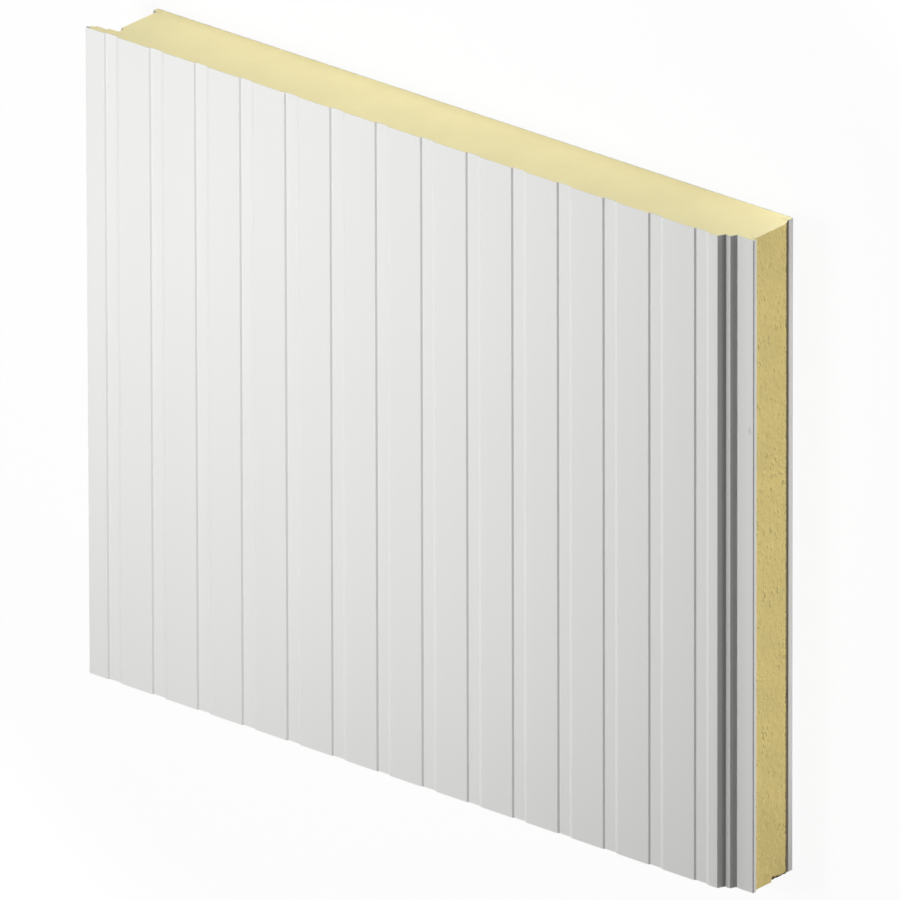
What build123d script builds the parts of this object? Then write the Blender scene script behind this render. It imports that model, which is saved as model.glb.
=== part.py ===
import os

from build123d import *

# Overall sizes of the panel, in millimetres
cover_width = 1000
panel_length = 850
panel_thickness = 100

# Thickness of the two coated steel sheets
outer_steel = 0.6
inner_steel = 0.5

# Shallow ribs of the outer sheet: flat crests with a valley between each pair
rib_count = 14
first_valley = 29.5
valley_depth = 2.2
valley_floor = 15.75
steep_run = 2
gentle_run = 5.5
rib_bend = 1.5

# Cover tongue on the left: hemmed sheet edge backed with foam
hem_depth = 3.4
hem_flat = 0.2
hem_return = 4.5
hem_hollow = 1
tongue_reach = 24
tongue_thickness = 8.5
tongue_step = 3.5
tongue_step_run = 1.5
tongue_lead = 2
tongue_nose = 1
pad_slope = 1.5

# Joint recess on the right: sloping wall, narrow shelf, second sloping wall, screw seat
joint_clearance = 0.4
first_wall_run = 5
shelf_clearance = 0.5
shelf_foot = 2
shelf_flat = 5.4
second_wall_run = 3.5
seat_depth = 16
seat_foot = 3.5
seat_overlap = 37.5
foot_depth = 1.5
recess_bend = 1

# Flange that closes the outer sheet at the end of the seat
flange_drop = 6
flange_return = 7.5
fold_bend = 1.2

# Foam edges in the joint
core_setback = 3.5
core_gap = 1
pad_clearance = 0.5
notch_clearance = 2
notch_slope = 2

# Inner sheet: lip on the left, set-back flange on the right, foam undercut above it
inner_overlap = 29.5
inner_gap = 0.5
lip_height = 9
lip_return = 10.5
inner_flange = 9
inner_return = 11.5
undercut_height = 10.5

# Bite broken out of the foam's right edge at one end: (depth below the crests, height)
bite_depth = 6
bite_edge = [(55, 0), (56.5, 5.6), (60, 5), (64, 4.6), (69, 2.6), (75, 2.6)]
bite_end_height = 2.2

# Places worked out from the sizes above
top = panel_thickness
rib_pitch = cover_width / rib_count
hem_end = hem_return + hem_hollow
shelf_depth = tongue_thickness + shelf_clearance
hem_bend = (hem_depth - hem_flat) / 2
first_wall = cover_width - joint_clearance
shelf_end = first_wall + shelf_foot + shelf_flat
second_wall = shelf_end + second_wall_run
step_start = shelf_end - cover_width + shelf_clearance
step_depth = tongue_thickness + tongue_step
seat_end = cover_width + seat_overlap
flange_foot = top - seat_depth - flange_drop
core_right = seat_end - core_setback
core_left = seat_overlap - core_setback + core_gap
inner_right = cover_width + inner_overlap - inner_gap
undercut_top = inner_flange + undercut_height
pad_depth = seat_depth - pad_clearance
notch_wall = seat_overlap + notch_clearance
notch_foot = flange_foot - notch_clearance
centre = seat_end / 2


def placed(points):
    """Points given from the tongue's edge, moved so that the panel is centred."""
    return [(x - centre, z) for x, z in points]


def rib_line():
    """Outer surface of the ribbed face, as (x, z, bend radius) corners."""
    corners = []
    for i in range(rib_count):
        x = first_valley + i * rib_pitch
        corners.append((x, top, rib_bend))
        x = x + steep_run
        corners.append((x, top - valley_depth, rib_bend))
        x = x + valley_floor
        corners.append((x, top - valley_depth, rib_bend))
        x = x + gentle_run
        corners.append((x, top, rib_bend))
    return corners


def recess_line():
    """Outer surface of the joint recess, from the first wall to the end of the seat."""
    return [
        (first_wall - first_wall_run, top, recess_bend),
        (first_wall, top - shelf_depth - foot_depth, recess_bend),
        (first_wall + shelf_foot, top - shelf_depth, recess_bend),
        (shelf_end, top - shelf_depth, recess_bend),
        (second_wall, top - seat_depth - foot_depth, recess_bend),
        (second_wall + seat_foot, top - seat_depth, recess_bend),
        (seat_end, top - seat_depth, fold_bend),
        (seat_end, flange_foot, fold_bend),
    ]


face_line = rib_line() + recess_line()
face_corners = [(x, z) for x, z, bend in face_line]
face_bends = [bend for x, z, bend in face_line]

# Outer sheet: one folded strip of constant thickness
with BuildPart() as outer_sheet:
    with BuildSketch(Plane.XZ) as outer_section:
        with BuildLine() as outer_surface:
            hem = [(hem_return, top - hem_depth), (0, top - hem_depth), (0, top)]
            free_edge = [(seat_end - flange_return, flange_foot)]
            FilletPolyline(
                *placed(hem + face_corners + free_edge),
                radius=[hem_bend, hem_bend] + face_bends,
            )
            offset(amount=outer_steel, side=Side.RIGHT)
        make_face()
    extrude(amount=panel_length / 2, both=True)
outer_sheet.part.label = "outer_sheet"

# Inner sheet: flat, with a folded lip on the left and a flange on the right
with BuildPart() as inner_sheet:
    with BuildSketch(Plane.XZ) as inner_section:
        with BuildLine() as inner_surface:
            lip = [(inner_overlap + lip_return, lip_height), (inner_overlap, lip_height)]
            floor_line = [(inner_overlap, 0), (inner_right, 0)]
            flange = [(inner_right, inner_flange), (inner_right - inner_return, inner_flange)]
            FilletPolyline(*placed(lip + floor_line + flange), radius=fold_bend)
            offset(amount=inner_steel, side=Side.LEFT)
        make_face()
    extrude(amount=panel_length / 2, both=True)
inner_sheet.part.label = "inner_sheet"

# Foam core: fills the space between the sheets and forms the joint's steps
with BuildPart() as foam_core:
    with BuildSketch(Plane.XZ) as core_section:
        with BuildLine() as core_outline:
            top_line = FilletPolyline(
                *placed([(hem_end, top)] + face_corners + [(core_right, flange_foot)]),
                radius=face_bends,
            )
            right_edge = [
                (core_right, flange_foot),
                (core_right, undercut_top),
                (inner_right - fold_bend, inner_flange),
                (inner_right - fold_bend, inner_flange - inner_steel),
                (inner_right - inner_steel, inner_flange - inner_steel),
                (inner_right - inner_steel, inner_steel),
            ]
            left_edge = [
                (inner_overlap + inner_steel, inner_steel),
                (inner_overlap + inner_steel, lip_height - inner_steel),
                (core_left, lip_height - inner_steel),
                (core_left, notch_foot - notch_slope),
                (notch_wall, notch_foot),
                (notch_wall, top - pad_depth),
                (tongue_reach + pad_slope, top - pad_depth),
                (tongue_reach, top - step_depth),
                (step_start + tongue_step_run, top - step_depth),
                (step_start, top - tongue_thickness),
                (tongue_lead + tongue_nose, top - tongue_thickness),
                (tongue_lead, top - hem_depth),
                (hem_end, top - hem_depth),
                (hem_end, top),
            ]
            Polyline(*placed(right_edge + left_edge))
        make_face()
        add(outer_section.sketch, mode=Mode.SUBTRACT)
        add(inner_section.sketch, mode=Mode.SUBTRACT)
    extrude(amount=panel_length / 2, both=True)
    with BuildSketch(Plane.YZ.offset(core_right - centre)) as bite_outline:
        with BuildLine():
            end = -panel_length / 2
            ragged = [(end + height, top - depth) for depth, height in bite_edge]
            foot = [(end + bite_end_height, undercut_top), (end, undercut_top)]
            Polyline(*ragged, *foot, close=True)
        make_face()
    extrude(amount=-bite_depth, mode=Mode.SUBTRACT)
foam_core.part.label = "foam_core"

os.makedirs("parts", exist_ok=True)
for piece in (outer_sheet, foam_core, inner_sheet):
    export_step(piece.part, f"parts/{piece.part.label}.step")
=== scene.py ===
import math
import random

import bmesh
import bpy
from bpy.props import FloatProperty, FloatVectorProperty, IntProperty, PointerProperty
from mathutils import Matrix, Vector, noise


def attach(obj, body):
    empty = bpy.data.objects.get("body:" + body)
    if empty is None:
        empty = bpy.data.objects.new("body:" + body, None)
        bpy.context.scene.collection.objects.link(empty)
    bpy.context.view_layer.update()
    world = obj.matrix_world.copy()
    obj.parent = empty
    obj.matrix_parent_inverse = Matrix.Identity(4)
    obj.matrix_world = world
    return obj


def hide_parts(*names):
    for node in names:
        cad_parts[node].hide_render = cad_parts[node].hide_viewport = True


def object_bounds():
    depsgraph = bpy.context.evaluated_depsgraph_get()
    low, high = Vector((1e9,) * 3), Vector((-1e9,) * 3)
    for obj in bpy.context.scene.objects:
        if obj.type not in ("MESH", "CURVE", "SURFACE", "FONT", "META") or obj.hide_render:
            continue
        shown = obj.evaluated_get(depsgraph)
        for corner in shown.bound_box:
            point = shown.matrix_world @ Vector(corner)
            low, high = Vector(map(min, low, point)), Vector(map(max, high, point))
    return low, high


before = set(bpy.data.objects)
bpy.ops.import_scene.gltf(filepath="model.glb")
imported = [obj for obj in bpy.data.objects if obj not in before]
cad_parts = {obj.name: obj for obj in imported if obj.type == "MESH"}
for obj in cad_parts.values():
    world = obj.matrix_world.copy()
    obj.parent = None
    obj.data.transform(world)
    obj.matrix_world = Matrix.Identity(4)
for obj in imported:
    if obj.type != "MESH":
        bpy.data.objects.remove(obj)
cad_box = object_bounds()

bl_info = {
    "name": "Insulated Wall Panel",
    "version": (1, 0, 0),
    "blender": (4, 5, 0),
    "location": "3D View > Sidebar > Wall Panel",
    "description": "Dresses a foam-filled, shallow-ribbed steel wall panel and sets its stage",
    "category": "Add Mesh",
}

SEED = 20
MM = 0.001
SMOOTH_ANGLE = math.radians(32)
WHOLE_LENGTH = 100  # metres, a mark's reach that covers the whole panel

# Camera fitted to the photograph's corners and valley lines
CAMERA_PLACE = (28.6051, 19.1339, 33.6269)
CAMERA_FORWARD = (-0.594753, -0.397993, -0.698478)
CAMERA_UP = (-0.256208, 0.917386, -0.304566)
CAMERA_LENS = 1600
CAMERA_CLIP = (1, 200)

# Lamps: name, place, aim, size and power
LAMPS = (
    ("key", (-0.56, 0.2, 1.95), (-0.1, 0, 0), (0.6, 0.6), 31.0),
    ("end_light", (0, 2.4, 0.5), (0, 0.4, 0.05), (1.8, 0.5), 25.5),
)
SKY_LIGHT = 0.095

# Floor: half its width, and its place below the panel
FLOOR_REACH = 30
FLOOR_GAP = 0.2 * MM

# Light table: its glow, how white the floor looks near the panel, and (centre, reach) of both
TABLE_LIGHT = 1.03
TABLE_AROUND = ((0.85, 0.02, 0), (0.55, 0.8, 1.0))
FLOOR_WHITENESS = 0.94
FLOOR_AROUND = ((0, 0, 0), (1.05, 0.95, 1.0))

# Weathering of the bare foam
DENT_COUNT = 150
DENT_REACH = (2, 5)  # mm
DENT_DEPTH = (0.3, 1.1)  # mm
DENT_STRETCH = (0.5, 1.6)
SKIN_WAVES = ((0.16, 160), (0.1, 620))  # height in mm, waves per metre
CHIP_REACH = 3 * MM

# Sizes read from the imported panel
low, high = cad_box
PANEL_LENGTH = high.y - low.y
PANEL_THICKNESS = high.z - low.z
PANEL_EDGE = -low.x


def length(name, description, default_mm):
    """A length property, its default given in millimetres."""
    return FloatProperty(name=name, description=description, default=default_mm * MM, unit="LENGTH")


def tint(name, description, default):
    """A colour property."""
    return FloatVectorProperty(
        name=name, description=description, subtype="COLOR", size=3, min=0, max=1, default=default)


class PanelSizes(bpy.types.PropertyGroup):
    """Sizes of the folded sheets and of the foam, counted from the tongue's edge."""

    cover_width: length("Cover Width", "Width of wall that one panel covers", 1000)
    rib_count: IntProperty(
        name="Ribs", description="Shallow ribs across the cover width", default=14, min=1)
    first_valley: length("First Valley", "Tongue's edge to the first valley", 29.5)
    valley_depth: length("Valley Depth", "Depth of the valleys below the crests", 2.2)
    valley_floor: length("Valley Floor", "Width of a valley's flat floor", 15.75)
    steep_run: length("Steep Run", "Width of a valley's steep side", 2)
    gentle_run: length("Gentle Run", "Width of a valley's gentle side", 5.5)
    rib_bend: length("Rib Bend", "Bend radius of the ribs", 1.5)
    outer_steel: length("Outer Steel", "Thickness of the outer sheet", 0.6)
    inner_steel: length("Inner Steel", "Thickness of the inner sheet", 0.5)
    hem_depth: length("Hem Depth", "Height of the hem on the tongue's edge", 3.4)
    hem_flat: length("Hem Flat", "Flat between the hem's two bends", 0.2)
    hem_return: length("Hem Return", "Length of the hem's folded leg", 4.5)
    hem_hollow: length("Hem Hollow", "Foam-free space past the hem's leg", 1)
    tongue_reach: length("Tongue Reach", "Width of the thinner part of the tongue", 24)
    tongue_thickness: length("Tongue Thickness", "Sheet and foam over the next shelf", 8.5)
    tongue_step: length("Tongue Step", "Extra thickness behind the tongue's edge", 3.5)
    tongue_step_run: length("Step Run", "Width of the slope at the tongue's step", 1.5)
    tongue_lead: length("Tongue Lead", "Hem's edge to the foam under it", 2)
    tongue_nose: length("Tongue Nose", "Slope on the tongue's foam edge", 1)
    pad_slope: length("Pad Slope", "Slope before the tongue's thick pad", 1.5)
    joint_clearance: length("Joint Clearance", "Gap between two panels' faces", 0.4)
    first_wall_run: length("First Wall Run", "Width of the sloping wall above the shelf", 5)
    shelf_clearance: length("Shelf Clearance", "Tongue's foam above the shelf", 0.5)
    shelf_foot: length("Shelf Foot", "Width of the groove at the shelf", 2)
    shelf_flat: length("Shelf Flat", "Width of the narrow shelf", 5.4)
    second_wall_run: length("Second Wall Run", "Width of the sloping wall above the seat", 3.5)
    seat_depth: length("Seat Depth", "Depth of the screw seat below the crests", 16)
    seat_foot: length("Seat Foot", "Width of the groove at the seat", 3.5)
    seat_overlap: length("Seat Overlap", "Reach of the seat past the cover width", 37.5)
    foot_depth: length("Foot Depth", "Depth of the grooves below shelf and seat", 1.5)
    recess_bend: length("Recess Bend", "Bend radius in the recess", 1)
    flange_drop: length("Flange Drop", "Height of the outer sheet's closing flange", 6)
    flange_return: length("Flange Return", "Length of the flange's folded leg", 7.5)
    fold_bend: length("Fold Bend", "Bend radius of the flanges", 1.2)
    core_setback: length("Core Setback", "Foam's face behind the closing flange", 3.5)
    core_gap: length("Core Gap", "Gap between two panels' foam", 1)
    pad_clearance: length("Pad Clearance", "Tongue's pad above the next seat", 0.5)
    notch_clearance: length("Notch Clearance", "Room around the next panel's flange", 2)
    notch_slope: length("Notch Slope", "Slope under the notch", 2)
    inner_overlap: length("Inner Overlap", "Tongue's edge to the inner sheet's lip", 29.5)
    inner_gap: length("Inner Gap", "Gap between two panels' inner sheets", 0.5)
    lip_height: length("Lip Height", "Height of the inner sheet's lip", 9)
    lip_return: length("Lip Return", "Length of the lip's folded leg", 10.5)
    inner_flange: length("Inner Flange", "Height of the inner sheet's flange", 9)
    inner_return: length("Inner Return", "Length of the inner flange's folded leg", 11.5)
    undercut_height: length("Undercut Height", "Height of the foam's undercut right foot", 10.5)
    bite_start: length("Bite Start", "Depth below the crests where the bite starts", 55)
    bite_height: length("Bite Height", "Height of the bite along the panel", 5.6)
    bite_depth: length("Bite Depth", "Depth of the bite into the foam's edge", 6)
    core_recess: length("Core Recess", "Sawn foam behind the sheets' cut edges", 0.25)
    core_grid: length("Core Grid", "Mesh step on the foam's joint faces", 2.2)


class PanelFinishes(bpy.types.PropertyGroup):
    """Colours of the panel's surfaces."""

    coating: tint("Coating", "Baked coating of both sheets", (0.80, 0.80, 0.785))
    cut_steel: tint("Cut Steel", "Bare cut edge of the sheets", (0.62, 0.62, 0.60))
    foam_cut: tint("Cut Foam", "Sawn ends of the foam", (0.94, 0.85, 0.475))
    foam_skin: tint("Foam Skin", "Moulded edges of the foam", (0.80, 0.648, 0.246))
    # Painted shade: the dark brown of shaded foam, used on the undercut and in the bite
    foam_shade: tint("Foam Foot", "Dusty undercut at the foam's right foot", (0.16, 0.12, 0.055))
    floor: tint("Floor", "Studio floor", (0.9, 0.9, 0.9))


def sizes():
    """The panel's sizes, as the sidebar holds them."""
    return bpy.context.scene.panel_sizes


def finishes():
    """The panel's colours, as the sidebar holds them."""
    return bpy.context.scene.panel_finishes


# Places worked out from the sizes: x from the tongue's edge, z from the underside
def first_wall():
    s = sizes()
    return s.cover_width - s.joint_clearance


def shelf_depth():
    """Depth of the shelf below the crests."""
    s = sizes()
    return s.tongue_thickness + s.shelf_clearance


def shelf_end():
    s = sizes()
    return first_wall() + s.shelf_foot + s.shelf_flat


def seat_end():
    s = sizes()
    return s.cover_width + s.seat_overlap


def flange_foot():
    s = sizes()
    return PANEL_THICKNESS - s.seat_depth - s.flange_drop


def core_right():
    return seat_end() - sizes().core_setback


def core_left():
    s = sizes()
    return s.seat_overlap - s.core_setback + s.core_gap


def undercut_top():
    s = sizes()
    return s.inner_flange + s.undercut_height


def inner_right():
    s = sizes()
    return s.cover_width + s.inner_overlap - s.inner_gap


# Profiles, as corners of (x, z, bend radius)
def rib_corners():
    """Outer surface of the ribbed face."""
    s = sizes()
    top = PANEL_THICKNESS
    corners = []
    for i in range(s.rib_count):
        x = s.first_valley + i * s.cover_width / s.rib_count
        corners.append((x, top, s.rib_bend))
        x += s.steep_run
        corners.append((x, top - s.valley_depth, s.rib_bend))
        x += s.valley_floor
        corners.append((x, top - s.valley_depth, s.rib_bend))
        x += s.gentle_run
        corners.append((x, top, s.rib_bend))
    return corners


def recess_corners():
    """Outer surface of the joint recess, down to the flange's foot."""
    s = sizes()
    top = PANEL_THICKNESS
    shelf = top - shelf_depth()
    seat = top - s.seat_depth
    wall = first_wall()
    second_wall = shelf_end() + s.second_wall_run
    return [
        (wall - s.first_wall_run, top, s.recess_bend),
        (wall, shelf - s.foot_depth, s.recess_bend),
        (wall + s.shelf_foot, shelf, s.recess_bend),
        (shelf_end(), shelf, s.recess_bend),
        (second_wall, seat - s.foot_depth, s.recess_bend),
        (second_wall + s.seat_foot, seat, s.recess_bend),
        (seat_end(), seat, s.fold_bend),
        (seat_end(), flange_foot(), s.fold_bend),
    ]


def outer_corners():
    """Outer surface of the whole outer sheet, from the hem's free end to the flange's."""
    s = sizes()
    top = PANEL_THICKNESS
    hem_bend = (s.hem_depth - s.hem_flat) / 2
    hem = [
        (s.hem_return, top - s.hem_depth, 0),
        (0, top - s.hem_depth, hem_bend),
        (0, top, hem_bend),
    ]
    free_end = (seat_end() - s.flange_return, flange_foot(), 0)
    return hem + rib_corners() + recess_corners() + [free_end]


def inner_corners():
    """Outer surface of the inner sheet, from the lip's free end to the flange's."""
    s = sizes()
    right = inner_right()
    return [
        (s.inner_overlap + s.lip_return, s.lip_height, 0),
        (s.inner_overlap, s.lip_height, s.fold_bend),
        (s.inner_overlap, 0, s.fold_bend),
        (right, 0, s.fold_bend),
        (right, s.inner_flange, s.fold_bend),
        (right - s.inner_return, s.inner_flange, 0),
    ]


def foam_corners():
    """Outline of the foam, which reaches halfway into both sheets."""
    s = sizes()
    top = PANEL_THICKNESS
    half = s.inner_steel / 2
    hem_end = s.hem_return + s.hem_hollow
    right = core_right()
    face = [(hem_end, top, 0)] + rib_corners() + recess_corners() + [(right, flange_foot(), 0)]
    notch_foot = flange_foot() - s.notch_clearance
    notch_wall = s.seat_overlap + s.notch_clearance
    pad = top - s.seat_depth + s.pad_clearance
    step_start = shelf_end() - s.cover_width + s.shelf_clearance
    step = top - s.tongue_thickness - s.tongue_step
    thin = top - s.tongue_thickness
    leg = top - s.hem_depth + s.outer_steel / 2
    soft = 0.8 * MM
    right_edge = [
        (right, undercut_top(), soft),
        (inner_right() - s.fold_bend, s.inner_flange, 0),
        (inner_right() - s.fold_bend, s.inner_flange - half, 0),
        (inner_right() - half, s.inner_flange - half, s.fold_bend - half),
        (inner_right() - half, half, s.fold_bend - half),
    ]
    left_edge = [
        (s.inner_overlap + half, half, s.fold_bend - half),
        (s.inner_overlap + half, s.lip_height - half, s.fold_bend - half),
        (core_left(), s.lip_height - half, 0),
        (core_left(), notch_foot - s.notch_slope, soft),
        (notch_wall, notch_foot, soft),
        (notch_wall, pad, soft),
        (s.tongue_reach + s.pad_slope, pad, soft),
        (s.tongue_reach, step, soft),
        (step_start + s.tongue_step_run, step, soft),
        (step_start, thin, soft),
        (s.tongue_lead + s.tongue_nose, thin, soft),
        (s.tongue_lead, leg, 0),
        (hem_end, leg, 0),
    ]
    return beside(face, s.outer_steel / 2) + right_edge + left_edge


def turn_at(before, here, after):
    """Angle of the bend at a corner, positive to the left."""
    first = Vector((here[0] - before[0], here[1] - before[1]))
    second = Vector((after[0] - here[0], after[1] - here[1]))
    return -first.angle_signed(second)


def beside(corners, distance):
    """The same line, a distance to its right, with its bends about the same centres."""
    moved = []
    for i, (x, z, bend) in enumerate(corners):
        before = corners[i - 1] if i else None
        after = corners[i + 1] if i + 1 < len(corners) else None
        runs = []
        for a, b in ((before, corners[i]), (corners[i], after)):
            if a and b:
                runs.append(Vector((b[0] - a[0], b[1] - a[1])).normalized())
        normals = [Vector((run.y, -run.x)) for run in runs]
        middle = sum(normals, Vector((0, 0))).normalized()
        step = middle * (distance / middle.dot(normals[0]))
        if bend:
            bend += math.copysign(distance, turn_at(before, corners[i], after))
        moved.append((x + step.x, z + step.y, bend))
    return moved


# Mesh helpers
def place(x):
    """X in the shared frame of a place counted from the tongue's edge."""
    return x - PANEL_EDGE


def runs_along(edge):
    """Whether an edge runs along the panel's length."""
    a, b = (v.co for v in edge.verts)
    return abs(a.x - b.x) + abs(a.z - b.z) < 1e-6


def is_cut_end(face):
    """Whether a face lies across the panel's length, as a cut end does."""
    return abs(face.normal.y) > 0.9


def bend_long_edges(bm, corners, closed):
    """Round the long edges at the corners, each with its own bend radius."""
    groups = {}
    count = len(corners)
    for i, (x, z, bend) in enumerate(corners):
        if not bend or (not closed and i in (0, count - 1)):
            continue
        turn = abs(turn_at(corners[i - 1], corners[i], corners[(i + 1) % count]))
        groups.setdefault((round(bend, 6), round(turn, 3)), []).append((x, z))
    for (bend, turn), spots in groups.items():
        wanted = {(round(place(x), 5), round(z, 5)) for x, z in spots}
        edges = []
        for edge in bm.edges:
            corner = edge.verts[0].co
            if runs_along(edge) and (round(corner.x, 5), round(corner.z, 5)) in wanted:
                edges.append(edge)
        bmesh.ops.bevel(
            bm, geom=edges, offset=bend * math.tan(turn / 2), offset_type="OFFSET",
            segments=max(3, round(bend * turn / (0.5 * MM))), profile=0.5,
            affect="EDGES", material=-1, clamp_overlap=False)


def finished(bm, name, materials):
    """Turn a bmesh into an object of the scene, smooth over its bends."""
    bmesh.ops.recalc_face_normals(bm, faces=bm.faces)
    for face in bm.faces:
        face.smooth = True
    mesh = bpy.data.meshes.new(name)
    bm.to_mesh(mesh)
    bm.free()
    mesh.set_sharp_from_angle(angle=SMOOTH_ANGLE)
    for material in materials:
        mesh.materials.append(material)
    piece = bpy.data.objects.new(name, mesh)
    bpy.context.scene.collection.objects.link(piece)
    flats = piece.modifiers.new("Flats", "WEIGHTED_NORMAL")
    flats.keep_sharp = True
    return piece


def folded_sheet(name, corners, thickness, materials):
    """A strip of sheet folded at each corner, its thickness laid towards the foam."""
    bm = bmesh.new()
    verts = [bm.verts.new((place(x), -PANEL_LENGTH / 2, z)) for x, z, bend in corners]
    edges = [bm.edges.new(pair) for pair in zip(verts, verts[1:])]
    swept = bmesh.ops.extrude_edge_only(bm, edges=edges)["geom"]
    far = [v for v in swept if isinstance(v, bmesh.types.BMVert)]
    bmesh.ops.translate(bm, vec=(0, PANEL_LENGTH, 0), verts=far)
    bend_long_edges(bm, corners, closed=False)
    bmesh.ops.recalc_face_normals(bm, faces=bm.faces)
    bmesh.ops.solidify(bm, geom=bm.faces[:], thickness=thickness)
    bmesh.ops.recalc_face_normals(bm, faces=bm.faces)
    for face in bm.faces:
        if is_cut_end(face):
            face.material_index = 1
    return finished(bm, name, materials)


# Foam shapes
def foam_block():
    """The foam's section swept along the panel, with its moulded corners rounded."""
    s = sizes()
    corners = foam_corners()
    reach = PANEL_LENGTH / 2 - s.core_recess
    bm = bmesh.new()
    outline = bm.faces.new([bm.verts.new((place(x), -reach, z)) for x, z, bend in corners])
    swept = bmesh.ops.extrude_face_region(bm, geom=[outline])["geom"]
    far = [v for v in swept if isinstance(v, bmesh.types.BMVert)]
    bmesh.ops.translate(bm, vec=(0, 2 * reach, 0), verts=far)
    bend_long_edges(bm, corners, closed=True)
    bmesh.ops.recalc_face_normals(bm, faces=bm.faces)
    return bm


def joint_faces(bm):
    """The foam's bare faces at the two joints, tongue included."""
    s = sizes()
    right = place(inner_right() - s.fold_bend) - MM / 10
    left = place(s.seat_overlap + s.notch_clearance) + MM / 10
    under = PANEL_THICKNESS - s.hem_depth
    bare = []
    for face in bm.faces:
        middle = face.calc_center_median()
        if abs(face.normal.y) > 0.5 or face.normal.z > 0.8:
            continue
        at_seat = middle.x > right and s.inner_flange < middle.z < flange_foot() + MM / 10
        at_notch = middle.x < left and s.lip_height - MM < middle.z < under
        if at_seat or at_notch:
            bare.append(face)
    return bare


def divide_joint_faces(bm):
    """Take the sawn ends off and give the bare foam a grid for its dents and chips."""
    ends = [face for face in bm.faces if is_cut_end(face)]
    bmesh.ops.delete(bm, geom=ends, context="FACES_ONLY")
    step = sizes().core_grid
    along = {e for face in joint_faces(bm) for e in face.edges if runs_along(e)}
    cuts = round(PANEL_LENGTH / step)
    bmesh.ops.subdivide_edges(bm, edges=list(along), cuts=cuts, use_grid_fill=True)
    by_count = {}
    for face in joint_faces(bm):
        for edge in face.edges:
            pieces = round(edge.calc_length() / step)
            if not runs_along(edge) and pieces > 1:
                by_count.setdefault(pieces, set()).add(edge)
    for pieces, edges in by_count.items():
        bmesh.ops.subdivide_edges(bm, edges=list(edges), cuts=pieces - 1, use_grid_fill=True)


def close_ends(bm):
    """Put the sawn ends back on the shaped outline."""
    rim = [edge for edge in bm.edges if edge.is_boundary]
    bmesh.ops.holes_fill(bm, edges=rim, sides=0)


def scattered_dents(count):
    """Places, reaches and depths of the dents in the joint faces."""
    dice = random.Random(SEED)
    dents = []
    for _ in range(count):
        where = Vector((dice.uniform(-0.5, 0.5), 0, dice.uniform(0, PANEL_THICKNESS)))
        where.x = math.copysign(PANEL_EDGE, where.x)
        where.y = dice.uniform(-0.5, 0.5) * PANEL_LENGTH
        stretch = dice.uniform(*DENT_STRETCH)
        reach = dice.uniform(*DENT_REACH) * MM
        dents.append((where, reach, dice.uniform(*DENT_DEPTH) * MM, stretch))
    return dents


def dent_depth(spot, dents):
    """Depth that the dents give to a place on a joint face."""
    deepest = 0
    for where, reach, depth, stretch in dents:
        if where.x * spot.x < 0 or abs(where.y - spot.y) > 2 * reach:
            continue
        away = math.hypot((spot.y - where.y) / stretch, spot.z - where.z) / reach
        if away < 1:
            deepest = max(deepest, depth * (1 - away * away))
    return deepest


def edge_chip(spot):
    """How far the foam's lower right edge is broken back at a place along the panel."""
    coarse = noise.noise(Vector((0, spot.y * 70, 3)))
    fine = noise.noise(Vector((0, spot.y * 310, 9)))
    return max(0, 1.6 * coarse + fine + 0.25) * MM


def bite_reach(depth):
    """Height of the bite at a depth below the crests, ragged along its edge."""
    s = sizes()
    if depth < s.bite_start:
        return 0
    past = (depth - s.bite_start) / (PANEL_THICKNESS - s.bite_start)
    ragged = 0.25 * noise.noise(Vector((depth * 400, 5, 1)))
    return s.bite_height * max(0.35, 1 - 0.9 * past + ragged)


def weather_joint_faces(bm):
    """Sink dents, chips and the bite into the bare foam."""
    s = sizes()
    bm.normal_update()
    dents = scattered_dents(DENT_COUNT)
    edge = Vector((place(core_right()), 0, undercut_top()))
    front = -PANEL_LENGTH / 2 + s.core_recess
    for v in {v for face in joint_faces(bm) for v in face.verts}:
        spot = v.co.copy()
        inward = -Vector((v.normal.x, 0, v.normal.z)).normalized()
        rough = sum(height * (1 + noise.noise(spot * waves)) for height, waves in SKIN_WAVES)
        upright = max(0, abs(inward.x) - 0.7) / 0.3
        v.co += inward * (rough * MM + upright * dent_depth(spot, dents))
        if spot.x < 0:
            continue
        near = math.hypot(spot.x - edge.x, spot.z - edge.z) / CHIP_REACH
        if near < 1:
            chip = edge_chip(spot) * (1 - near)
            v.co += Vector((-0.6 * chip, 0, chip))
        if spot.y < front + bite_reach(PANEL_THICKNESS - spot.z):
            sunk = s.bite_depth * (0.75 + 0.35 * noise.noise(spot * 500))
            v.co.x = min(v.co.x, edge.x - sunk)


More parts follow.
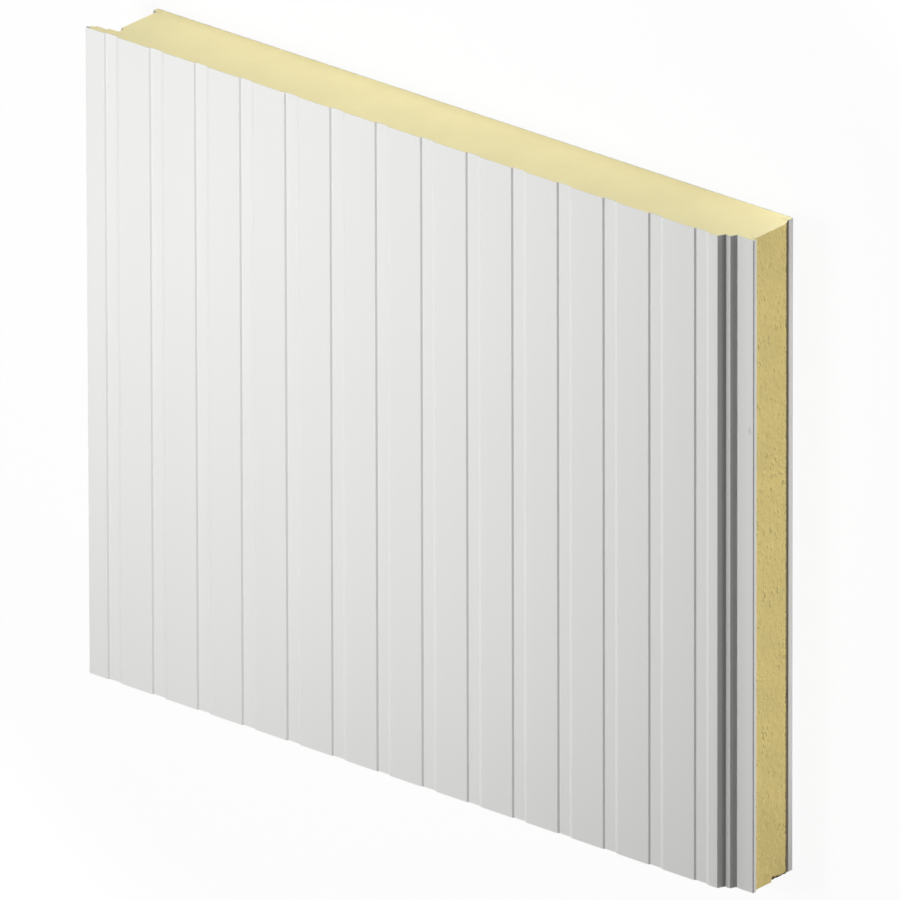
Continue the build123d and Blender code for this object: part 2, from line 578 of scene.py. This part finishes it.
# Node helpers
class Nodes:
    """Short calls for building a node tree."""

    def __init__(self, tree):
        self.tree = tree

    def add(self, kind, **values):
        node = self.tree.nodes.new(kind)
        for key, value in values.items():
            setattr(node, key, value)
        return node

    def link(self, source, target):
        self.tree.links.new(source, target)

    def put(self, socket, value):
        """Link a value that comes from another node, or set a plain one."""
        if isinstance(value, bpy.types.NodeSocket):
            self.link(value, socket)
        else:
            socket.default_value = value

    def math(self, operation, a, b=0.0, clamp=False):
        node = self.add("ShaderNodeMath", operation=operation, use_clamp=clamp)
        self.put(node.inputs[0], a)
        self.put(node.inputs[1], b)
        return node.outputs[0]

    def mix(self, factor, a, b, blend="MIX"):
        node = self.add("ShaderNodeMix", data_type="RGBA", blend_type=blend)
        self.put(node.inputs[0], factor)
        self.put(node.inputs[6], a)
        self.put(node.inputs[7], b)
        return node.outputs[2]

    def map_range(self, value, from_low, from_high, to_low, to_high):
        node = self.add("ShaderNodeMapRange", clamp=True)
        for socket, number in zip(node.inputs, (value, from_low, from_high, to_low, to_high)):
            self.put(socket, number)
        return node.outputs[0]

    def noise(self, vector, scale, detail=3.0, roughness=0.5):
        node = self.add("ShaderNodeTexNoise")
        self.put(node.inputs["Vector"], vector)
        self.put(node.inputs["Scale"], scale)
        self.put(node.inputs["Detail"], detail)
        self.put(node.inputs["Roughness"], roughness)
        return node.outputs["Fac"]

    def stretched(self, vector, scale):
        """Coordinates with each axis scaled."""
        node = self.add("ShaderNodeMapping")
        self.put(node.inputs["Vector"], vector)
        node.inputs["Scale"].default_value = scale
        return node.outputs["Vector"]

    def axes(self, vector):
        node = self.add("ShaderNodeSeparateXYZ")
        self.link(vector, node.inputs[0])
        return node.outputs

    def near(self, vector, centre, reach, hold=0.2):
        """One at a place in the object, falling to nothing at the given reach."""
        node = self.add("ShaderNodeMapping", vector_type="TEXTURE")
        self.put(node.inputs["Vector"], vector)
        node.inputs["Location"].default_value = centre
        node.inputs["Scale"].default_value = reach
        distance = self.add("ShaderNodeVectorMath", operation="LENGTH")
        self.link(node.outputs["Vector"], distance.inputs[0])
        return self.map_range(distance.outputs["Value"], hold, 1.0, 1.0, 0.0)

    def bump(self, height, strength, distance):
        """Normals of a relief whose height of one stands for the given distance."""
        node = self.add("ShaderNodeBump")
        node.inputs["Strength"].default_value = strength
        node.inputs["Distance"].default_value = distance
        self.put(node.inputs["Height"], height)
        return node.outputs["Normal"]

    def group(self, tree, **values):
        """Use a shared group, its inputs set by name."""
        node = self.add("ShaderNodeGroup")
        node.node_tree = tree
        for title, value in values.items():
            self.put(node.inputs[title.replace("_", " ")], value)
        return node.outputs


def new_group(name, inputs, outputs):
    """A shader node group; inputs other than the vector and all outputs are floats."""
    tree = bpy.data.node_groups.new(name, "ShaderNodeTree")
    tree.interface.new_socket("Vector", in_out="INPUT", socket_type="NodeSocketVector")
    for title in inputs:
        tree.interface.new_socket(title, in_out="INPUT", socket_type="NodeSocketFloat")
    for title in outputs:
        tree.interface.new_socket(title, in_out="OUTPUT", socket_type="NodeSocketFloat")
    nodes = Nodes(tree)
    return nodes, nodes.add("NodeGroupInput").outputs, nodes.add("NodeGroupOutput").inputs


def grain_group():
    """Fine grain and slow drift of tone, both from 0 to 1."""
    name = "Grain And Drift"
    if name in bpy.data.node_groups:
        return bpy.data.node_groups[name]
    nodes, given, result = new_group(name, ["Grain Scale", "Drift Scale"], ["Grain", "Drift"])
    for title, detail in (("Grain", 2.0), ("Drift", 4.0)):
        tone = nodes.noise(given["Vector"], given[title + " Scale"], detail)
        nodes.link(nodes.map_range(tone, 0.3, 0.7, 0.0, 1.0), result[title])
    return nodes.tree


def specks_group():
    """Scattered irregular specks: a mask of one in the given share of the cells."""
    name = "Foam Specks"
    if name in bpy.data.node_groups:
        return bpy.data.node_groups[name]
    nodes, given, result = new_group(name, ["Cell Scale", "Size", "Share"], ["Mask"])
    wobble = nodes.add("ShaderNodeTexNoise")
    nodes.link(given["Vector"], wobble.inputs["Vector"])
    nodes.link(nodes.math("MULTIPLY", given["Cell Scale"], 2.6), wobble.inputs["Scale"])
    shift = nodes.add("ShaderNodeVectorMath", operation="SCALE")
    nodes.link(wobble.outputs["Color"], shift.inputs[0])
    nodes.link(nodes.math("DIVIDE", 0.5, given["Cell Scale"]), shift.inputs["Scale"])
    moved = nodes.add("ShaderNodeVectorMath", operation="ADD")
    nodes.link(given["Vector"], moved.inputs[0])
    nodes.link(shift.outputs[0], moved.inputs[1])
    cells = nodes.add("ShaderNodeTexVoronoi")
    nodes.link(moved.outputs[0], cells.inputs["Vector"])
    nodes.link(given["Cell Scale"], cells.inputs["Scale"])
    dice = nodes.axes(cells.outputs["Color"])
    chosen = nodes.math("LESS_THAN", dice[0], given["Share"])
    reach = nodes.math("MULTIPLY", given["Size"], nodes.map_range(dice[1], 0.0, 1.0, 0.4, 1.0))
    core = nodes.math("MULTIPLY", reach, 0.5)
    shape = nodes.map_range(cells.outputs["Distance"], core, reach, 1.0, 0.0)
    nodes.link(nodes.math("MULTIPLY", chosen, shape), result["Mask"])
    return nodes.tree


# Finishes
def new_material(name, roughness=0.5, metallic=0.0):
    """A material with its Principled shader and Object coordinates."""
    material = bpy.data.materials.new(name)
    material.use_nodes = True
    tree = material.node_tree
    tree.nodes.clear()
    nodes = Nodes(tree)
    shader = nodes.add("ShaderNodeBsdfPrincipled")
    output = nodes.add("ShaderNodeOutputMaterial")
    nodes.link(shader.outputs[0], output.inputs[0])
    shader.inputs["Roughness"].default_value = roughness
    shader.inputs["Metallic"].default_value = metallic
    where = nodes.add("ShaderNodeTexCoord").outputs["Object"]
    return material, nodes, shader.inputs, where


def shade(colour, factor):
    """A colour with its alpha, made darker or lighter."""
    return (*(min(1.0, c * factor) for c in colour), 1.0)


def coated_steel(name, marks=()):
    """Baked satin coating: slow drift of tone, long rolling streaks and any darker marks, painted
    shade among them.
    """
    colour = finishes().coating
    material, nodes, shader, where = new_material(name)
    grain = nodes.group(grain_group(), Vector=where, Grain_Scale=900.0, Drift_Scale=2.2)
    streaks = nodes.noise(nodes.stretched(where, (1.0, 0.02, 1.0)), 55.0, 4.0)
    drift = nodes.math("MULTIPLY", grain["Drift"], 0.5)
    tone = nodes.math("ADD", drift, nodes.math("MULTIPLY", streaks, 0.5))
    tone = nodes.map_range(tone, 0.2, 0.8, 0.0, 1.0)
    paint = nodes.mix(tone, shade(colour, 0.985), shade(colour, 1.015))
    # Each mark darkens the paint; the recess's folds, grooves and shelf get painted shade this way
    for centre, reach, darkening in marks:
        patches = nodes.map_range(nodes.noise(where, 600.0), 0.3, 0.6, 0.7, 1.0)
        patchy = nodes.math("MULTIPLY", nodes.near(where, centre, reach), patches)
        paint = nodes.mix(patchy, paint, shade(colour, darkening))
    nodes.link(paint, shader["Base Color"])
    nodes.link(nodes.map_range(grain["Drift"], 0.0, 1.0, 0.5, 0.57), shader["Roughness"])
    nodes.link(nodes.bump(grain["Grain"], 0.12, 0.04 * MM), shader["Normal"])
    return material


def rub_and_recess_shade():
    """A rub mark, and painted shade on the recess's folds, grooves, shelf and seat, each as
    (centre, reach, shade).
    """
    s = sizes()
    seat = PANEL_THICKNESS - s.seat_depth
    shelf = PANEL_THICKNESS - shelf_depth()
    second_wall = shelf_end() + s.second_wall_run
    rub = ((place(seat_end()) - 6 * MM, 177 * MM, seat), (4 * MM, 7 * MM, 4 * MM), 0.82)
    marks = [rub]
    # Painted shade where the recess's folds, grooves, shelf and seat fall in shadow; reaches in mm
    for x, z, across, up, darkening in (
        (seat_end(), seat, 1.9, 1.9, 0.45),  # fold at the seat's end
        (first_wall() - 0.5 * MM, shelf - s.foot_depth, 3.5, 10, 0.53),  # groove at the shelf
        (second_wall - 0.4 * MM, seat - s.foot_depth, 3, 8.5, 0.53),  # groove at the seat
        (first_wall() + 2.5 * MM, shelf, 7, 3, 0.62),  # shelf
        (second_wall + s.seat_foot, seat, 16, 4, 0.91),  # start of the seat
    ):
        marks.append(((place(x), 0, z), (across * MM, WHOLE_LENGTH, up * MM), darkening))
    return marks


def cut_steel(name):
    """Sheared edge of the sheet: bare metal, streaked across its thickness."""
    colour = finishes().cut_steel
    material, nodes, shader, where = new_material(name, metallic=0.35)
    grain = nodes.group(grain_group(), Vector=where, Grain_Scale=1400.0, Drift_Scale=30.0)
    tone = nodes.mix(grain["Grain"], shade(colour, 0.8), shade(colour, 1.15))
    nodes.link(tone, shader["Base Color"])
    nodes.link(nodes.map_range(grain["Drift"], 0.0, 1.0, 0.4, 0.6), shader["Roughness"])
    nodes.link(nodes.bump(grain["Grain"], 0.3, 0.1 * MM), shader["Normal"])
    return material


def sawn_foam(name):
    """Pale sawn end: fine cells, faint saw lines across the panel and cloudy tone."""
    colour = finishes().foam_cut
    material, nodes, shader, where = new_material(name, roughness=0.92)
    grain = nodes.group(grain_group(), Vector=where, Grain_Scale=420.0, Drift_Scale=14.0)
    cells = nodes.group(specks_group(), Vector=where, Cell_Scale=520.0, Size=0.5, Share=0.5)
    saw = nodes.noise(nodes.stretched(where, (1.0, 1.0, 22.0)), 24.0, 3.0)
    tone = nodes.mix(grain["Drift"], shade(colour, 0.965), shade(colour, 1.02))
    tone = nodes.mix(nodes.math("MULTIPLY", cells["Mask"], 0.16), tone, shade(colour, 0.72))
    nodes.link(tone, shader["Base Color"])
    relief = nodes.math("SUBTRACT", nodes.math("ADD", grain["Grain"], saw), cells["Mask"])
    nodes.link(nodes.bump(relief, 0.3, 0.3 * MM), shader["Normal"])
    return material


def undercut_shade_mask(nodes, where):
    """One on the undercut at the foam's right foot, with a ragged upper limit: where the undercut's
    shade is painted.
    """
    raggedness = 7 * MM
    softness = 0.6 * MM
    limit = undercut_top() + 2.9 * MM
    past = place(inner_right()) - 20 * MM
    axes = nodes.axes(where)
    ragged = nodes.math("MULTIPLY", nodes.noise(where, 210.0, 4.0, 0.7), raggedness)
    height = nodes.math("ADD", axes[2], ragged)
    below = nodes.map_range(height, limit - softness, limit + softness, 1.0, 0.0)
    at_right = nodes.math("GREATER_THAN", axes[0], past)
    return nodes.math("MULTIPLY", below, at_right)


def bite_shade_mask(nodes, where):
    """One on the broken foam of the bite, where its shadow is painted."""
    s = sizes()
    centre = (place(core_right() - s.bite_depth), -PANEL_LENGTH / 2, 32 * MM)
    return nodes.near(where, centre, (5 * MM, 12 * MM, 24 * MM), hold=0.8)


def shifted(nodes, vector, shift):
    """The same coordinates, moved along."""
    node = nodes.add("ShaderNodeMapping")
    nodes.link(vector, node.inputs["Vector"])
    node.inputs["Location"].default_value = shift
    return node.outputs["Vector"]


def moulded_foam(name):
    """Ochre skin of the foam's edges: cloudy tone, small scars and pits with painted shade and
    highlights, and painted shade on the undercut and in the bite.
    """
    colour = finishes().foam_skin
    material, nodes, shader, where = new_material(name, roughness=0.85)
    broad = nodes.group(grain_group(), Vector=where, Grain_Scale=130.0, Drift_Scale=22.0)
    fine = nodes.group(grain_group(), Vector=where, Grain_Scale=700.0, Drift_Scale=38.0)
    along = nodes.stretched(where, (1.0, 0.55, 1.0))
    # Specks moved a little along and up, where painted highlights sit beside the scars' painted
    # shade
    lit = shifted(nodes, along, (0.0, -0.6 * MM, 1.5 * MM))
    scars_and_shade, highlights = [], []
    for scale, size, share in ((130.0, 0.4, 0.8), (250.0, 0.5, 0.9)):
        for spread, found in ((along, scars_and_shade), (lit, highlights)):
            specks = nodes.group(
                specks_group(), Vector=spread, Cell_Scale=scale, Size=size, Share=share)
            found.append(specks["Mask"])
    clusters = nodes.map_range(fine["Drift"], 0.35, 0.9, 0.3, 1.0)
    scar_and_shade = nodes.math("MULTIPLY", nodes.math("MAXIMUM", *scars_and_shade), clusters)
    highlight = nodes.math("MULTIPLY", nodes.math("MAXIMUM", *highlights), clusters)
    tone = nodes.mix(broad["Drift"], shade(colour, 0.95), shade(colour, 1.05))
    tone = nodes.mix(nodes.math("MULTIPLY", broad["Grain"], 0.3), tone, shade(colour, 0.88))
    # Painted highlights beside the scars, then painted shade in them
    tone = nodes.mix(nodes.math("MULTIPLY", highlight, 0.9), tone, shade(colour, 1.25))
    tone = nodes.mix(nodes.math("MULTIPLY", scar_and_shade, 0.8), tone, shade(colour, 0.55))
    # Painted shade on the undercut at the right foot, and painted shadow in the bite
    tone = nodes.mix(undercut_shade_mask(nodes, where), tone, shade(finishes().foam_shade, 1.0))
    tone = nodes.mix(bite_shade_mask(nodes, where), tone, shade(finishes().foam_shade, 0.75))
    nodes.link(tone, shader["Base Color"])
    bumps = nodes.math("ADD", broad["Grain"], nodes.math("MULTIPLY", fine["Grain"], 0.3))
    bumps = nodes.math("SUBTRACT", bumps, scar_and_shade)
    nodes.link(nodes.bump(bumps, 0.5, 0.8 * MM), shader["Normal"])
    return material


def seen_directly(nodes):
    """One where the camera sees a surface itself, or in a mirror or through glass."""
    path = nodes.add("ShaderNodeLightPath").outputs
    direct = nodes.math("MAXIMUM", path["Is Camera Ray"], path["Is Transmission Ray"])
    return nodes.math("MAXIMUM", direct, path["Is Glossy Ray"])


def studio_floor(name):
    """Light table: lights the panel's edges from below, seen as white but for the shadow."""
    colour = finishes().floor
    material, nodes, shader, where = new_material(name, roughness=0.9)
    around = nodes.near(where, *FLOOR_AROUND, hold=0.8)
    table = nodes.near(where, *TABLE_AROUND, hold=0.7)
    nodes.link(nodes.mix(around, shade(colour, 0.2), shade(colour, 1.0)), shader["Base Color"])
    seen = seen_directly(nodes)
    below = nodes.add("ShaderNodeEmission")
    hidden = nodes.math("SUBTRACT", TABLE_LIGHT, nodes.math("MULTIPLY", seen, TABLE_LIGHT))
    nodes.link(nodes.math("MULTIPLY", table, hidden), below.inputs["Strength"])
    lit = nodes.add("ShaderNodeAddShader")
    output = next(n for n in nodes.tree.nodes if n.type == "OUTPUT_MATERIAL")
    nodes.link(output.inputs[0].links[0].from_socket, lit.inputs[0])
    nodes.link(below.outputs[0], lit.inputs[1])
    glow = nodes.add("ShaderNodeEmission")
    glow.inputs["Strength"].default_value = 1.0
    white = nodes.map_range(around, 0.0, 1.0, 1.0, FLOOR_WHITENESS)
    blend = nodes.add("ShaderNodeMixShader")
    nodes.link(nodes.math("MULTIPLY", seen, white), blend.inputs[0])
    nodes.link(lit.outputs[0], blend.inputs[1])
    nodes.link(glow.outputs[0], blend.inputs[2])
    nodes.link(blend.outputs[0], output.inputs[0])
    return material


# Pieces and stage
class PANEL_OT_outer_sheet(bpy.types.Operator):
    """Fold the ribbed outer sheet"""

    bl_idname = "panel.outer_sheet"
    bl_label = "Outer Sheet"

    def execute(self, context):
        materials = [coated_steel("outer_coating", rub_and_recess_shade()), cut_steel("outer_cut_edge")]
        piece = folded_sheet("outer_sheet_folded", outer_corners(), sizes().outer_steel, materials)
        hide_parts("outer_sheet")
        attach(piece, "root")
        return {"FINISHED"}


class PANEL_OT_inner_sheet(bpy.types.Operator):
    """Fold the flat inner sheet"""

    bl_idname = "panel.inner_sheet"
    bl_label = "Inner Sheet"

    def execute(self, context):
        materials = [coated_steel("inner_coating"), cut_steel("inner_cut_edge")]
        piece = folded_sheet("inner_sheet_folded", inner_corners(), sizes().inner_steel, materials)
        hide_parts("inner_sheet")
        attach(piece, "root")
        return {"FINISHED"}


class PANEL_OT_foam_core(bpy.types.Operator):
    """Shape the foam core"""

    bl_idname = "panel.foam_core"
    bl_label = "Foam Core"

    def execute(self, context):
        bm = foam_block()
        divide_joint_faces(bm)
        weather_joint_faces(bm)
        close_ends(bm)
        bmesh.ops.recalc_face_normals(bm, faces=bm.faces)
        for face in bm.faces:
            face.material_index = 0 if is_cut_end(face) else 1
        materials = [sawn_foam("sawn_foam"), moulded_foam("moulded_foam")]
        piece = finished(bm, "foam_core_shaped", materials)
        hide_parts("foam_core")
        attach(piece, "root")
        return {"FINISHED"}


class PANEL_OT_stage(bpy.types.Operator):
    """Set the floor, the lamps and the camera"""

    bl_idname = "panel.stage"
    bl_label = "Stage"

    def execute(self, context):
        scene = context.scene
        scene.view_settings.view_transform = "Standard"
        bm = bmesh.new()
        bmesh.ops.create_grid(bm, x_segments=1, y_segments=1, size=FLOOR_REACH)
        bmesh.ops.translate(bm, vec=(0, 0, -FLOOR_GAP), verts=bm.verts)
        floor = finished(bm, "studio_floor", [studio_floor("studio_floor")])
        scene.world = self.studio_world()
        for name, where, aim, size, power in LAMPS:
            self.lamp(name, Vector(where), Vector(aim), size, power)
        scene.camera = self.eye()
        return {"FINISHED"}

    def studio_world(self):
        """Even sky light, seen as white."""
        world = bpy.data.worlds.new("studio")
        world.use_nodes = True
        world.node_tree.nodes.clear()
        nodes = Nodes(world.node_tree)
        backdrop = nodes.add("ShaderNodeBackground")
        strength = nodes.map_range(seen_directly(nodes), 0.0, 1.0, SKY_LIGHT, 1.0)
        nodes.link(strength, backdrop.inputs["Strength"])
        nodes.link(backdrop.outputs[0], nodes.add("ShaderNodeOutputWorld").inputs[0])
        return world

    def lamp(self, name, where, aim, size, power):
        """An area lamp at a place, turned to its aim and hidden from the camera."""
        lamp = bpy.data.lights.new(name, "AREA")
        lamp.shape = "RECTANGLE"
        lamp.size, lamp.size_y = size
        lamp.energy = power
        holder = bpy.data.objects.new(name, lamp)
        holder.location = where
        holder.rotation_mode = "QUATERNION"
        holder.rotation_quaternion = (aim - where).to_track_quat("-Z", "X")
        holder.visible_camera = False
        bpy.context.scene.collection.objects.link(holder)

    def eye(self):
        """Camera at the photograph's angle, so far away that the view is nearly parallel."""
        camera = bpy.data.cameras.new("camera")
        camera.lens = CAMERA_LENS
        camera.clip_start, camera.clip_end = CAMERA_CLIP
        holder = bpy.data.objects.new("camera", camera)
        forward = Vector(CAMERA_FORWARD).normalized()
        side = forward.cross(Vector(CAMERA_UP)).normalized()
        turned = Matrix((side, side.cross(forward), -forward)).transposed()
        holder.matrix_world = Matrix.Translation(CAMERA_PLACE) @ turned.to_4x4()
        bpy.context.scene.collection.objects.link(holder)
        return holder


class PANEL_PT_sidebar(bpy.types.Panel):
    """Sizes, colours and pieces of the wall panel"""

    bl_idname = "PANEL_PT_sidebar"
    bl_label = "Wall Panel"
    bl_space_type = "VIEW_3D"
    bl_region_type = "UI"
    bl_category = "Wall Panel"

    def draw(self, context):
        layout = self.layout
        for group in (context.scene.panel_sizes, context.scene.panel_finishes):
            box = layout.box()
            for name in group.bl_rna.properties.keys():
                if name not in ("rna_type", "name"):
                    box.prop(group, name)
        for operator in OPERATORS:
            layout.operator(operator.bl_idname)


OPERATORS = (PANEL_OT_outer_sheet, PANEL_OT_inner_sheet, PANEL_OT_foam_core, PANEL_OT_stage)
CLASSES = (PanelSizes, PanelFinishes, *OPERATORS, PANEL_PT_sidebar)


def register():
    """Register the classes and give the scene its sizes and finishes."""
    for item in CLASSES:
        bpy.utils.register_class(item)
    bpy.types.Scene.panel_sizes = PointerProperty(type=PanelSizes)
    bpy.types.Scene.panel_finishes = PointerProperty(type=PanelFinishes)


def unregister():
    """Take the sizes, the finishes and the classes away again."""
    del bpy.types.Scene.panel_finishes
    del bpy.types.Scene.panel_sizes
    for item in reversed(CLASSES):
        bpy.utils.unregister_class(item)


def main():
    """Build the stage and the panel."""
    register()
    bpy.ops.panel.stage()
    bpy.ops.panel.outer_sheet()
    bpy.ops.panel.inner_sheet()
    bpy.ops.panel.foam_core()


if __name__ == "__main__":
    main()
